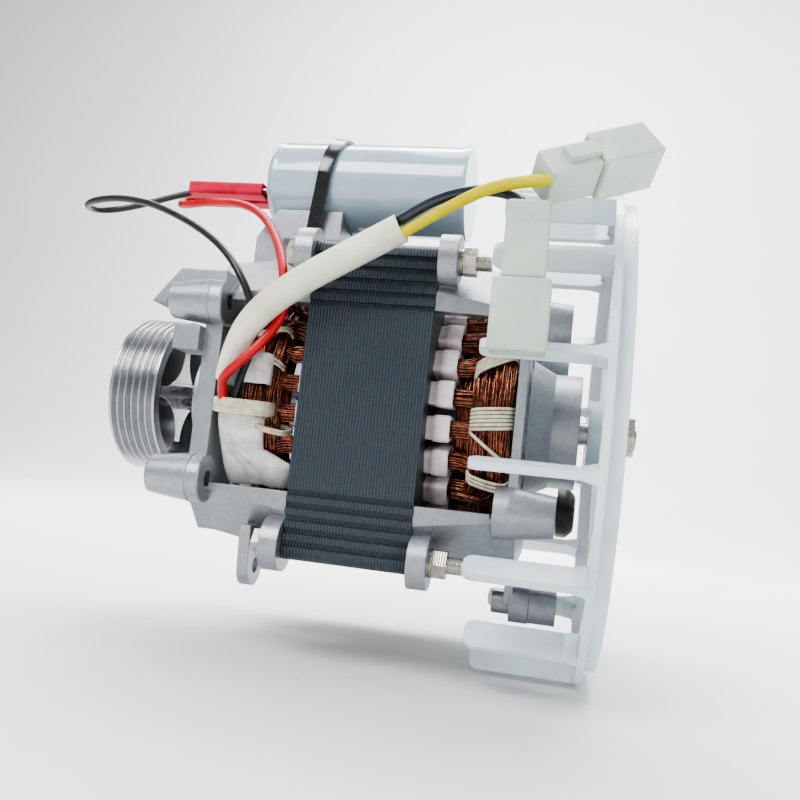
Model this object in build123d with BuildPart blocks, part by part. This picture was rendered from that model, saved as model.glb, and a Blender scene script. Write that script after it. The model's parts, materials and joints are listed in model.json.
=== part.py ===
from build123d import *
import math
import os

# Washing machine motor with its run capacitor, pulley and cooling fan. Lengths are in millimetres.
# The shaft lies along X, the pulley at -X and the fan at +X, and Z is up. The origin is on the
# shaft's axis in the plane of the drive-end mounting faces. Places along the shaft are counted
# from the middle of the stator stack, which lies face_to_stack from the origin.
face_to_stack = 49.0

# Fits
fit_clearance = 0.02
running_clearance = 0.3
overrun = 1.0

# Stator stack
stack_length = 40.0
stack_corner_radius = 4.0
bore_radius = 28.5
flute_first = 30.0
flute_pitch = 3.9
flute_count = 5
flute_width = 1.8
flute_depth = 1.4
bolt_hole_radius = 2.7
stack_face = stack_length / 2

# Slots, their liners and their wedges
slot_count = 24
slot_pitch = 360 / slot_count
slot_neck_half = 1.1
slot_neck_radius = bore_radius + 1.2
slot_cell_inner = slot_neck_radius + 1.3
slot_cell_outer = slot_cell_inner + 12.3
slot_half_inner = 2.5
slot_half_outer = 3.9
liner_gap = 0.1
liner_wall = 0.4
cuff_wall = 0.45
liner_half_length = 27.5
cuff_start = stack_face + running_clearance
wedge_inner = slot_cell_inner + 0.2
wedge_outer = wedge_inner + 0.7
wedge_half_width = 1.7
wedge_half_length = 24.0
yoke_width = 7.5
stack_width = 2 * (slot_cell_outer + yoke_width)

# Windings: the main winding has two loops a pole, the start winding one
pole_count = 4
main_wire = 5.0
main_leg_radius = slot_cell_outer - 3.3
main_small_end = 37.2
main_large_end = 43.2
main_return_end = 38.8
main_link_end = 33.0
main_link_radius = main_leg_radius - 10.0
main_bend = 6.5
main_link_bend = 5.2
main_wide_bend = 25.0
start_wire = 4.4
start_leg_radius = main_leg_radius - 5.5
start_end = 32.2
start_return_end = 33.0
start_bend = 5.0
start_link_bend = 4.4
start_wide_bend = 25.0
sample_step = 2.0

# End brackets
arm_edge = 30.0
arm_half = stack_width / 2 - 0.8
bolt_half_spacing = arm_half - 3.5
arm_wall = 5.5
corner_cut = 14.0
plate_half = arm_half - 4.0
lug_radius = 8.3
lug_length = 6.0
vent_inner = 25.0
vent_outer = 38.0
vent_count = 12
vent_spoke = 6.0
boss_y = 45.0
boss_z = 29.0
boss_hole_radius = 2.65
hub_radius = 20.0
hub_root_radius = 24.0

# Drive-end bracket
drive_plate_inner = -50.0
drive_plate_outer = -56.0
drive_hub_end = -70.0
drive_hub_taper_end = -60.0
drive_boss_face = -face_to_stack
drive_boss_end = -68.0
drive_boss_face_radius = 7.3
drive_boss_collar_radius = 7.8
drive_boss_collar_length = 4.5
drive_boss_root_radius = 8.0
drive_boss_tip_radius = 6.35
seal_hole_radius = 8.5

# Cast wing on the upper near drive-end boss
wing_tip = -74.0
wing_shoulder = -65.0
wing_tip_height = 27.0
wing_top = 38.5
wing_depth_outer = 50.0
wing_depth_inner = 36.0
wing_wall = 5.0
ledge_top = 20.0
ledge_bottom = 12.0

# Earth ear
ear_face = -35.7
ear_thickness = 3.7
ear_y = -38.0
ear_hole_z = -55.0
ear_half_width = 6.5
ear_root_half_width = 8.0
ear_top = -42.0
ear_hole_radius = 2.5

# Capacitor and its cradle
can_z = 84.9
can_radius = 17.0
can_left = -50.0
can_right = 20.6
can_rim_width = 2.0
can_rim_radius = 17.5
cap_left = -54.2
cap_edge = 2.5
tab_width = 6.3
tab_thickness = 0.8
tab_length = 8.0
tab_y = (-4.0, 6.0)
tab_z = 81.5
cradle_left = -49.0
cradle_right = -24.0
cradle_half_width = 13.0
cradle_bottom = 61.0
cradle_top = 72.0
cradle_web = 5.0
cradle_foot = 42.0
tie_x = -31.0
tie_tilt = 8.0
tie_width = 5.0
tie_thickness = 1.2
tie_bottom = 60.3
tie_corner_half = 13.6
tie_head = 7.0
tie_head_height = 4.6
tie_head_place = (20.3, -4.0)

# Boots and receptacles on the capacitor's tabs
boot_left = -88.5
boot_length = 30.0
boot_width = 8.0
boot_height = 4.8
boot_wall = 0.6
boot_neck = 6.0
boot_edge = 1.2
receptacle_length = 18.0
receptacle_wall = 0.5
receptacle_gap = 0.1

# Fan-end bracket
fan_plate_inner = 47.2
fan_plate_outer = 50.2
fan_hub_taper_end = 58.0
fan_hub_end = 67.0
fan_boss_face = 43.6
fan_boss_collar_length = 4.4
fan_boss_end = 61.8
fan_boss_face_radius = 7.95
fan_boss_tip_radius = 6.15
low_boss_y = -10.0
low_boss_z = -60.0
low_spigot_face = 43.2
low_spigot_radius = 3.65
low_spigot_length = 6.0
low_collar_length = 6.4
low_collar_radius = 6.0
low_body_radius = 5.65
low_body_length = 8.9
low_web_half_width = 4.5
bush_length = 7.2
bush_radius = 10.0
bush_edge = 3.0

# Bearings, size 6201
bearing_bore = 6.0
bearing_radius = 16.0
bearing_width = 10.0
drive_bearing_left = -67.0
fan_bearing_left = 54.0
ball_circle = 11.0
ball_radius = 2.7
ball_count = 7
race_shoulder = 1.8
cage_wall = 1.2
cage_width = 7.8
washer_thickness = 0.5
washer_gap = 0.25

# Through bolts, washers and nuts, M5
bolt_radius = 2.5
bolt_head_flats = 8.0
bolt_head_height = 3.5
bolt_end = 36.0
washer_radius = 4.25
washer_height = 1.3
washer_split = 0.8
nut_height = 4.0

# Rotor
air_gap = 0.3
rotor_radius = bore_radius - air_gap
shaft_radius = 7.5
pulley_seat_radius = 5.0
fan_seat_radius = 4.0
shaft_left = -97.0
shaft_right = 86.5
drive_seat_end = -71.0
fan_seat_start = 66.0
bar_count = 16
bar_circle = 22.0
bar_width = 3.0
bar_height = 5.0
ring_outer = 26.5
ring_inner = 15.0
ring_length = 8.0

# Pulley
pulley_left = -97.9
pulley_right = -80.2
pulley_radius = 28.7
groove_count = 6
groove_pitch = 2.7
groove_depth = 2.2
groove_flat = 0.5
pulley_rim_inner = 25.0
pulley_web = 4.0
star_radius = 17.6
star_waist = 9.0
star_face = -83.5
star_tip_half_angle = 7.0
star_points = 4
star_pitch = 360 / star_points

# Cooling fan
blade_count = 16
blade_first_angle = 11.5
blade_outer = 83.3
blade_width = 8.2
blade_inner = blade_outer - blade_width
blade_tip = 38.0
blade_thickness = 2.4
blade_root_thickness = 6.0
blade_root_length = 4.0
blade_corner = 2.8
flange_left = 71.4
flange_thickness = 2.4
dish_wall = 2.0
dish_radius = blade_inner + 3.9
dish_right = 78.0
fan_hub_radius = 12.0
fan_hub_left = 70.0
fan_hub_right = 80.0
fan_washer_radius = 8.5
fan_washer_height = 1.2
fan_nut_flats = 13.0
fan_nut_height = 4.5

# Wrap round the lead joints on the winding
wrap_inner = main_leg_radius + 4.3
wrap_outer = wrap_inner + 1.7
wrap_left = -48.5
wrap_right = -22.5
wrap_first_angle = 182.0
wrap_last_angle = 219.0

# Free leads: each route is chosen by hand, in the part's own frame
bend_share = 0.45
black_diameter = 2.5
red_diameter = 3.0
sleeve_diameter = 9.0
lead_diameter = 3.3
black_route = [
    (-39.5, -4.0, 80.3), (-46.5, -4.8, 78.2), (-56.0, -6.5, 74.4), (-66.0, -8.0, 71.0),
    (-73.5, -12.0, 68.6), (-74.5, -20.0, 67.5), (-67.5, -26.5, 67.8), (-56.0, -29.5, 68.3),
    (-42.5, -31.8, 66.4), (-29.4, -35.5, 61.4), (-16.8, -40.5, 55.2), (-5.3, -46.0, 47.8),
    (3.4, -50.2, 39.4), (9.0, -50.4, 30.0), (12.0, -47.8, 20.5), (11.6, -46.2, 11.0),
    (10.2, -46.2, 2.5), (9.6, -44.9, -6.0),
]
red_route = [
    (-39.5, 6.0, 81.2), (-45.6, 6.0, 81.2), (-47.6, 1.5, 77.0), (-41.5, -4.0, 75.1),
    (-31.0, -8.5, 75.0), (-20.0, -12.0, 74.3), (-9.0, -18.0, 71.0), (0.5, -26.0, 64.6),
    (8.6, -35.0, 55.8), (15.4, -44.0, 46.0), (19.8, -50.8, 36.0), (21.4, -50.8, 26.0),
    (17.8, -55.2, 16.2), (10.6, -57.8, 7.6), (3.6, -56.0, -1.0), (1.6, -47.0, -7.5),
]
sleeve_route = [
    (4.0, -48.0, 1.5), (5.6, -51.4, 11.0), (12.6, -55.6, 23.0), (26.5, -58.8, 33.6),
    (42.5, -60.4, 42.7), (58.6, -62.0, 51.7),
]
yellow_route = [
    (55.3, -61.5, 47.7), (65.8, -66.5, 52.6), (76.7, -74.0, 56.2), (86.0, -82.5, 57.4),
    (94.0, -88.5, 57.0), (103.0, -89.5, 57.6),
]
dark_route = [
    (53.3, -61.5, 50.9), (63.5, -65.2, 56.9), (73.3, -69.5, 59.8), (82.0, -74.5, 59.6),
    (90.0, -80.5, 57.2), (95.6, -86.5, 52.6), (97.3, -89.8, 45.5),
]

# Connectors on the leads
yellow_connector_origin = (112.9, -80.0, 65.1)
yellow_connector_direction = (0.81, 0.43, 0.40)
yellow_connector_up = (0.20, -0.84, 0.50)
connector_length = 33.0
connector_width = 9.8
connector_height = 11.2
mate_length = 18.0
mate_wall = 1.2
latch_length = 9.0
latch_height = 1.6
dark_connector_x = 97.6
dark_connector_y = -90.0
dark_connector_top = 50.5
dark_connector_width = 11.0
dark_connector_depth = 9.0
dark_connector_length = 20.0
dark_mate_width = 14.6
dark_mate_depth = 10.5
dark_mate_length = 18.4
connector_edge = 0.8


def across(x):
    """The plane square to the shaft at x from the middle of the stack, with u along Y, v along Z."""
    return Plane.YZ.offset(face_to_stack + x)


def lengthwise(y=0.0, z=0.0, z_dir=(0, 0, 1)):
    """A plane along the shaft through y and z, with u counted along X from the stack's middle."""
    return Plane(origin=(face_to_stack, y, z), x_dir=(1, 0, 0), z_dir=z_dir)


def on_circle(x, radius, angle):
    """A point at an angle about the shaft, counted from +Y towards +Z."""
    turn = math.radians(angle)
    return Vector(face_to_stack + x, radius * math.cos(turn), radius * math.sin(turn))


def face_of(plane, points):
    """A flat face inside a closed outline."""
    with BuildSketch(plane) as outline:
        with BuildLine():
            Polyline(*points, close=True)
        make_face()
    return outline.sketch


def turned(points, y=0.0, z=0.0, mode=Mode.ADD):
    """Turns a closed outline of (x, radius) points about the line along X through y and z."""
    face = face_of(lengthwise(y, z), points)
    return revolve(face, axis=Axis((0, y, z), (1, 0, 0)), mode=mode)


def drilled(x, length, radius, spots):
    """Cuts round holes along X from x, at (y, z) spots, through a length and an overrun each side."""
    with BuildSketch(across(x - overrun)) as circles:
        with Locations(*spots):
            Circle(radius)
    extrude(circles.sketch, amount=length + 2 * overrun, mode=Mode.SUBTRACT)


def bend_radii(points):
    """The bend at each inner point: a share of the shorter run over the tangent of half the turn."""
    corners = [Vector(*point) for point in points]
    radii = []
    for before, corner, after in zip(corners, corners[1:], corners[2:]):
        first, second = corner - before, after - corner
        half_turn = math.radians(first.get_angle(second)) / 2
        radii.append(bend_share * min(first.length, second.length) / math.tan(half_turn))
    return radii


def tube(points, radii, diameter):
    """A round tube swept along straight runs joined by tangent arcs."""
    with BuildPart() as body:
        with BuildLine() as path:
            FilletPolyline(*points, radius=radii)
        with BuildSketch(Plane(origin=path.line @ 0, z_dir=path.line % 0)):
            Circle(diameter / 2)
        sweep(path=path.wires()[0])
    return body.part, path.wires()[0]


def lead(name, points, diameter):
    """A free lead's tube, with its radii and its volume against section times length printed."""
    radii = bend_radii(points)
    solid, path = tube(points, radii, diameter)
    runs = [(Vector(*b) - Vector(*a)).length for a, b in zip(points, points[1:])]
    section = math.pi * diameter**2 / 4
    print(f"{name}: length {path.length:.0f}, volume ratio {solid.volume / section / path.length:.4f}")
    print("  radii in diameters", [round(radius / diameter, 1) for radius in radii])
    print("  runs in diameters", [round(run / diameter, 1) for run in runs])
    return solid


def least_gap(path, diameter):
    """The least gap between stretches of a tube, measured on points that lie well apart along it."""
    count = int(path.length / sample_step)
    spots = [path.position_at(i / count) for i in range(count + 1)]
    apart = int(math.pi * diameter / sample_step)
    return min(
        (spots[i] - spots[j]).length - diameter
        for i in range(len(spots))
        for j in range(i + apart, len(spots))
    )


# Stator stack: a square pack of laminations, fluted on its sides, slotted round its bore
def slot_outline(neck=True, inset=0.0, grow=0.0):
    """Half-open slot outline with its axis along u: the neck, then a cell that widens outwards."""
    inner, outer = slot_half_inner - inset + grow, slot_half_outer - inset + grow
    bottom = slot_cell_outer - inset + grow
    points = [(slot_cell_inner, inner), (bottom, outer), (bottom, -outer), (slot_cell_inner, -inner)]
    if neck:
        points += [(slot_neck_radius, -slot_neck_half), (bore_radius - overrun, -slot_neck_half)]
        points += [(bore_radius - overrun, slot_neck_half), (slot_neck_radius, slot_neck_half)]
    return points


slot_face = face_of(Plane.XY, slot_outline())
flute_places = [
    (stack_width / 2, side * (flute_first + flute_pitch * i))
    for i in range(flute_count)
    for side in (-1, 1)
]
with BuildPart() as stator_core:
    with BuildSketch(across(-stack_face)):
        RectangleRounded(stack_width, stack_width, stack_corner_radius)
        Circle(bore_radius, mode=Mode.SUBTRACT)
        with PolarLocations(0, slot_count, start_angle=slot_pitch / 2):
            add(slot_face, mode=Mode.SUBTRACT)
        with GridLocations(2 * bolt_half_spacing, 2 * bolt_half_spacing, 2, 2):
            Circle(bolt_hole_radius, mode=Mode.SUBTRACT)
        with PolarLocations(0, 4):
            with Locations(*flute_places):
                Rectangle(2 * flute_depth, flute_width, mode=Mode.SUBTRACT)
    extrude(amount=stack_length)

# Slot liners: an open channel in each slot, with a folded cuff past each end of the stack
channel_outer = face_of(Plane.XY, slot_outline(neck=False, inset=liner_gap))
channel_inner = face_of(
    Plane.XY,
    [
        (slot_cell_inner - overrun, slot_half_inner - liner_gap - liner_wall),
        (slot_cell_outer - liner_gap - liner_wall, slot_half_outer - liner_gap - liner_wall),
        (slot_cell_outer - liner_gap - liner_wall, -slot_half_outer + liner_gap + liner_wall),
        (slot_cell_inner - overrun, -slot_half_inner + liner_gap + liner_wall),
    ],
)
cuff_outer = face_of(Plane.XY, slot_outline(neck=False, inset=liner_gap, grow=cuff_wall))
with BuildPart() as slot_liners:
    with BuildSketch(across(-liner_half_length)):
        with PolarLocations(0, slot_count, start_angle=slot_pitch / 2):
            add(channel_outer)
            add(channel_inner, mode=Mode.SUBTRACT)
    extrude(amount=2 * liner_half_length)
    for x in (-liner_half_length, cuff_start):
        with BuildSketch(across(x)):
            with PolarLocations(0, slot_count, start_angle=slot_pitch / 2):
                add(cuff_outer)
                add(channel_inner, mode=Mode.SUBTRACT)
        extrude(amount=liner_half_length - cuff_start)

# Slot wedges: flat strips that close the slots towards the bore
with BuildPart() as slot_wedges:
    with BuildSketch(across(-wedge_half_length)):
        with PolarLocations((wedge_inner + wedge_outer) / 2, slot_count, start_angle=slot_pitch / 2):
            Rectangle(wedge_outer - wedge_inner, 2 * wedge_half_width)
    extrude(amount=2 * wedge_half_length)


# Windings: each is one unbroken tube that goes through its slots and round both ends
def slot_angle(number):
    return slot_pitch * (number - 0.5)


def end_turn(x, radius, first, last, bend, wide_bend, steps):
    """Points and bends of an end turn from slot first to slot last, in equal steps."""
    shares = [i / steps for i in range(steps + 1)]
    angles = [slot_angle(first) + share * (slot_angle(last) - slot_angle(first)) for share in shares]
    points = [on_circle(x, radius, angle) for angle in angles]
    return points, [bend] + [wide_bend] * (steps - 1) + [bend]


def winding(name, ends, stretches, wire):
    """Joins end turns into one tube and prints its least gap to itself."""
    points, radii = [ends[0]], []
    for stretch_points, stretch_radii in stretches:
        points += stretch_points
        radii += stretch_radii
    solid, path = tube(points + [ends[1]], radii, wire)
    ratio = solid.volume / (math.pi * wire**2 / 4 * path.length)
    print(f"{name}: length {path.length:.0f}, volume ratio {ratio:.4f}, gap {least_gap(path, wire):.2f}")
    return solid


main_turns = []
for pole in range(pole_count):
    first = 1 + pole * slot_count // pole_count
    main_turns.append(end_turn(main_small_end, main_leg_radius, first + 1, first + 4, main_bend, 0, 1))
    main_turns.append(
        end_turn(-main_return_end, main_leg_radius, first + 4, first, main_bend, main_wide_bend, 2)
    )
    main_turns.append(
        end_turn(main_large_end, main_leg_radius, first, first + 5, main_bend, main_wide_bend, 2)
    )
    if pole < pole_count - 1:
        link_points = [
            on_circle(-main_link_end, main_leg_radius, slot_angle(first + 5)),
            on_circle(-main_link_end, main_link_radius, slot_angle(first + 6)),
            on_circle(-main_link_end, main_leg_radius, slot_angle(first + 7)),
        ]
        main_turns.append((link_points, [main_link_bend, main_bend, main_link_bend]))
main_ends = [on_circle(-main_link_end, main_leg_radius, slot_angle(number)) for number in (2, slot_count)]
with BuildPart() as main_winding:
    add(winding("main winding", main_ends, main_turns, main_wire))

start_turns = []
for pole in range(pole_count):
    first = 4 + pole * slot_count // pole_count
    start_turns.append(
        end_turn(start_end, start_leg_radius, first, first + 5, start_bend, start_wide_bend, 3)
    )
    if pole < pole_count - 1:
        start_turns.append(
            end_turn(-start_return_end, start_leg_radius, first + 5, first + 6, start_link_bend, 0, 1)
        )
start_ends = [on_circle(-start_return_end, start_leg_radius, slot_angle(number)) for number in (4, 3)]
with BuildPart() as start_winding:
    add(winding("start winding", start_ends, start_turns, start_wire))

# Wrap: a cloth band folded over the joints between the winding and the leads
with BuildPart() as insulation_wrap:
    with BuildSketch(across(wrap_left)):
        with BuildLine():
            wrap_angle = wrap_last_angle - wrap_first_angle
            outer_arc = CenterArc((0, 0), wrap_outer, wrap_first_angle, wrap_angle)
            inner_arc = CenterArc((0, 0), wrap_inner, wrap_first_angle, wrap_angle)
            Line(outer_arc @ 0, inner_arc @ 0)
            Line(outer_arc @ 1, inner_arc @ 1)
        make_face()
    extrude(amount=wrap_right - wrap_left)


# End brackets: an end plate with vents, four corner arms with bolt lugs, a bearing hub and bosses
corners = [(y * bolt_half_spacing, z * bolt_half_spacing) for y in (-1, 1) for z in (-1, 1)]
boss_places = [(y * boss_y, z * boss_z) for y in (-1, 1) for z in (-1, 1)]


def chamfered_square(half):
    """A quarter turn's worth of points, repeated about the shaft."""
    points = [(half, half - corner_cut), (half - corner_cut, half)]
    return [turn_point(point, quarter) for quarter in range(4) for point in points]


def turn_point(point, quarter):
    """A (y, z) point turned by quarter turns."""
    y, z = point
    for _ in range(quarter):
        y, z = -z, y
    return (y, z)


def arm_section(x, half):
    """Section of one corner arm: two walls and the chamfer that joins them."""
    inner = half - arm_wall
    cut = 2 * half - corner_cut - math.sqrt(2) * arm_wall - inner
    outline = [
        (half, arm_edge), (half, half - corner_cut), (half - corner_cut, half), (arm_edge, half),
        (arm_edge, inner), (cut, inner), (inner, cut), (inner, arm_edge),
    ]
    return face_of(across(x), outline)


def end_frame(plate_inner, plate_outer, side):
    """Plate, arms and lugs of a bracket: side is -1 at the drive end and 1 at the fan end."""
    with BuildSketch(across(min(plate_inner, plate_outer))) as plate:
        with BuildLine():
            Polyline(*chamfered_square(plate_half), close=True)
        make_face()
        Circle(vent_outer, mode=Mode.SUBTRACT)
        Circle(vent_inner)
        with PolarLocations((vent_inner + vent_outer) / 2, vent_count):
            Rectangle(vent_outer - vent_inner + overrun, vent_spoke)
        Circle(bearing_radius + fit_clearance, mode=Mode.SUBTRACT)
    extrude(plate.sketch, amount=abs(plate_outer - plate_inner))
    arm = loft(
        [arm_section(plate_inner, plate_half), arm_section(side * stack_face, arm_half)],
        ruled=True,
        mode=Mode.PRIVATE,
    )
    for quarter in range(4):
        add(arm.rotate(Axis.X, 90 * quarter))
    with BuildSketch(across(side * stack_face)) as lugs:
        with Locations(*corners):
            Circle(lug_radius)
    extrude(lugs.sketch, amount=side * lug_length)
    lug_start = min(side * stack_face, side * (stack_face + lug_length))
    drilled(lug_start, lug_length, bolt_hole_radius, corners)


with BuildPart() as drive_end_bracket:
    end_frame(drive_plate_inner, drive_plate_outer, -1)
    seat = bearing_radius + fit_clearance
    turned([
        (drive_plate_inner, seat), (drive_plate_inner, hub_root_radius),
        (drive_plate_outer, hub_root_radius), (drive_hub_taper_end, hub_radius),
        (drive_hub_end, hub_radius), (drive_hub_end, seal_hole_radius),
        (drive_bearing_left, seal_hole_radius), (drive_bearing_left, seat),
    ])
    collar_end = drive_boss_face - drive_boss_collar_length
    boss_outline = [
        (drive_boss_face, 0), (drive_boss_face, drive_boss_face_radius),
        (drive_boss_face - (drive_boss_collar_radius - drive_boss_face_radius), drive_boss_collar_radius),
        (collar_end, drive_boss_collar_radius), (collar_end, drive_boss_root_radius),
        (drive_boss_end, drive_boss_tip_radius), (drive_boss_end, 0),
    ]
    for y, z in boss_places:
        turned(boss_outline, y, z)
    wing = face_of(
        lengthwise(-wing_depth_outer, 0, (0, -1, 0)),
        [
            (wing_tip, wing_tip_height), (wing_shoulder, wing_top), (drive_boss_face, wing_top),
            (drive_boss_face, wing_top - wing_wall), (wing_shoulder, wing_top - wing_wall),
            (wing_tip + wing_wall, wing_tip_height),
        ],
    )
    extrude(wing, amount=wing_depth_inner - wing_depth_outer)
    ledge = face_of(
        lengthwise(-wing_depth_outer, 0, (0, -1, 0)),
        [
            (wing_shoulder, ledge_bottom), (wing_shoulder, ledge_top), (drive_plate_outer, ledge_top),
            (drive_plate_outer, ledge_bottom),
        ],
    )
    extrude(ledge, amount=wing_depth_inner - wing_depth_outer)
    drilled(drive_boss_end, drive_boss_face - drive_boss_end, boss_hole_radius, boss_places)
    with BuildSketch(across(ear_face)) as ear:
        with BuildLine():
            Polyline(
                (ear_y - ear_root_half_width, ear_top), (ear_y - ear_half_width, ear_hole_z),
                (ear_y + ear_half_width, ear_hole_z), (ear_y + ear_root_half_width, ear_top),
                close=True,
            )
        make_face()
        with Locations((ear_y, ear_hole_z)):
            Circle(ear_half_width)
            Circle(ear_hole_radius, mode=Mode.SUBTRACT)
    extrude(ear.sketch, amount=ear_thickness)
    cradle = face_of(
        lengthwise(0, 0, (0, -1, 0)),
        [
            (drive_plate_outer, cradle_foot), (drive_plate_inner, cradle_foot),
            (drive_plate_inner + cradle_web, cradle_bottom), (cradle_right, cradle_bottom),
            (cradle_right, cradle_top), (cradle_left, cradle_top), (drive_plate_outer, cradle_bottom),
        ],
    )
    extrude(cradle, amount=cradle_half_width, both=True)
    can_room = can_radius + running_clearance
    cut_left = cradle_left - cradle_web - overrun
    cut_right = cradle_right + overrun
    can_cut = [(cut_left, 0), (cut_left, can_room), (cut_right, can_room), (cut_right, 0)]
    turned(can_cut, 0, can_z, Mode.SUBTRACT)

with BuildPart() as fan_end_bracket:
    end_frame(fan_plate_inner, fan_plate_outer, 1)
    fan_bearing_right = fan_bearing_left + bearing_width
    floor_x = fan_bearing_right + washer_thickness + 2 * washer_gap
    turned([
        (fan_plate_inner, seat), (fan_plate_inner, hub_root_radius), (fan_plate_outer, hub_root_radius),
        (fan_hub_taper_end, hub_radius), (fan_hub_end, hub_radius), (fan_hub_end, seal_hole_radius),
        (floor_x, seal_hole_radius), (floor_x, seat),
    ])
    fan_boss_outline = [
        (fan_boss_face, 0), (fan_boss_face, fan_boss_face_radius),
        (fan_boss_face + fan_boss_collar_length, fan_boss_face_radius),
        (fan_boss_end, fan_boss_tip_radius), (fan_boss_end, 0),
    ]
    for y, z in boss_places:
        turned(fan_boss_outline, y, z)
    drilled(fan_boss_face, fan_boss_end - fan_boss_face, boss_hole_radius, boss_places)
    low_collar = low_spigot_face + low_spigot_length
    turned(
        [
            (low_spigot_face, 0), (low_spigot_face, low_spigot_radius), (low_collar, low_spigot_radius),
            (low_collar, low_collar_radius), (low_collar + low_collar_length, low_collar_radius),
            (low_collar + low_collar_length, low_body_radius),
            (low_collar + low_collar_length + low_body_length, low_body_radius),
            (low_collar + low_collar_length + low_body_length, 0),
        ],
        low_boss_y,
        low_boss_z,
    )
    low_web = face_of(
        across(fan_plate_inner),
        [
            (low_boss_y - low_web_half_width, low_boss_z), (low_boss_y + low_web_half_width, low_boss_z),
            (low_boss_y + low_web_half_width, arm_wall - plate_half),
            (low_boss_y - low_web_half_width, arm_wall - plate_half),
        ],
    )
    extrude(low_web, amount=fan_plate_outer - fan_plate_inner)

# Rubber bush on the lower far boss of the fan end
with BuildPart() as mounting_bush:
    turned(
        [
            (fan_boss_end, boss_hole_radius), (fan_boss_end, bush_radius),
            (fan_boss_end + bush_length - bush_edge, bush_radius),
            (fan_boss_end + bush_length, bush_radius - bush_edge),
            (fan_boss_end + bush_length, boss_hole_radius),
        ],
        boss_y,
        -boss_z,
    )

# Through bolts with hexagon heads, split washers and nuts
with BuildPart() as through_bolts:
    head_x = -stack_face - lug_length
    with BuildSketch(across(head_x)) as shanks:
        with Locations(*corners):
            Circle(bolt_radius)
    extrude(shanks.sketch, amount=bolt_end - head_x)
    with BuildSketch(across(head_x)) as heads:
        with Locations(*corners):
            RegularPolygon(bolt_head_flats / 2, 6, major_radius=False)
    extrude(heads.sketch, amount=-bolt_head_height)

washer_x = stack_face + lug_length
with BuildPart() as spring_washers:
    with BuildSketch(across(washer_x)) as rings:
        with Locations(*corners):
            Circle(washer_radius)
            Circle(bolt_radius + fit_clearance, mode=Mode.SUBTRACT)
        with Locations(*[(y, z + washer_radius) for y, z in corners]):
            Rectangle(washer_split, 2 * (washer_radius - bolt_radius + fit_clearance), mode=Mode.SUBTRACT)
    extrude(rings.sketch, amount=washer_height)

with BuildPart() as through_bolt_nuts:
    with BuildSketch(across(washer_x + washer_height)) as nuts:
        with Locations(*corners):
            RegularPolygon(bolt_head_flats / 2, 6, major_radius=False)
            Circle(bolt_radius + fit_clearance, mode=Mode.SUBTRACT)
    extrude(nuts.sketch, amount=nut_height)


# Bearings: rings with ball grooves, a ring of balls and a cage
def ring_profile(left, bore, shoulder, groove):
    """Half section of a bearing ring whose groove leaves the balls their running clearance."""
    middle = left + bearing_width / 2
    race = ball_radius + running_clearance
    half_groove = math.sqrt(race**2 - race_shoulder**2)
    with BuildSketch(lengthwise()) as section:
        with BuildLine():
            lip_left = (middle - half_groove, shoulder)
            lip_right = (middle + half_groove, shoulder)
            right = left + bearing_width
            ThreePointArc(lip_left, (middle, groove), lip_right)
            Polyline(lip_right, (right, shoulder), (right, bore), (left, bore), (left, shoulder), lip_left)
        make_face()
    return section.sketch


def outer_ring(left):
    with BuildPart() as ring:
        groove = ball_circle + ball_radius + running_clearance
        revolve(ring_profile(left, bearing_radius, ball_circle + race_shoulder, groove), axis=Axis.X)
    return ring.part


def inner_ring(left):
    with BuildPart() as ring:
        groove = ball_circle - ball_radius - running_clearance
        bore = bearing_bore + fit_clearance
        revolve(ring_profile(left, bore, ball_circle - race_shoulder, groove), axis=Axis.X)
    return ring.part


def ball_set(left):
    with BuildPart() as balls:
        for i in range(ball_count):
            centre = on_circle(left + bearing_width / 2, ball_circle, 360 * i / ball_count)
            with Locations(centre):
                Sphere(ball_radius)
    return balls.part


def ball_cage(left):
    with BuildPart() as cage:
        middle = left + bearing_width / 2
        turned([
            (middle - cage_width / 2, ball_circle - cage_wall / 2),
            (middle + cage_width / 2, ball_circle - cage_wall / 2),
            (middle + cage_width / 2, ball_circle + cage_wall / 2),
            (middle - cage_width / 2, ball_circle + cage_wall / 2),
        ])
        for i in range(ball_count):
            outward = on_circle(0, 1, 360 * i / ball_count) - on_circle(0, 0, 0)
            base = on_circle(middle, ball_circle - cage_wall, 360 * i / ball_count)
            with BuildSketch(Plane(origin=base, x_dir=(1, 0, 0), z_dir=outward)) as pocket:
                Circle(ball_radius + running_clearance)
            extrude(pocket.sketch, amount=2 * cage_wall, mode=Mode.SUBTRACT)
    return cage.part


with BuildPart() as preload_washer:
    washer_left = fan_bearing_right + washer_gap
    turned([
        (washer_left, ball_circle + race_shoulder), (washer_left, bearing_radius - running_clearance),
        (washer_left + washer_thickness, bearing_radius - running_clearance),
        (washer_left + washer_thickness, ball_circle + race_shoulder),
    ])

# Rotor: stepped shaft, laminated core with its cast cage
with BuildPart() as shaft:
    drive_shoulder = drive_bearing_left + bearing_width
    turned([
        (shaft_left, 0), (shaft_left, pulley_seat_radius), (drive_seat_end, pulley_seat_radius),
        (drive_seat_end, bearing_bore), (drive_shoulder, bearing_bore), (drive_shoulder, shaft_radius),
        (fan_bearing_left, shaft_radius), (fan_bearing_left, bearing_bore),
        (fan_seat_start, bearing_bore), (fan_seat_start, fan_seat_radius),
        (shaft_right, fan_seat_radius), (shaft_right, 0),
    ])

with BuildPart() as rotor_core:
    with BuildSketch(across(-stack_face)):
        Circle(rotor_radius)
        Circle(shaft_radius + fit_clearance, mode=Mode.SUBTRACT)
        with PolarLocations(bar_circle, bar_count):
            Rectangle(bar_height + 2 * fit_clearance, bar_width + 2 * fit_clearance, mode=Mode.SUBTRACT)
    extrude(amount=stack_length)

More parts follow.
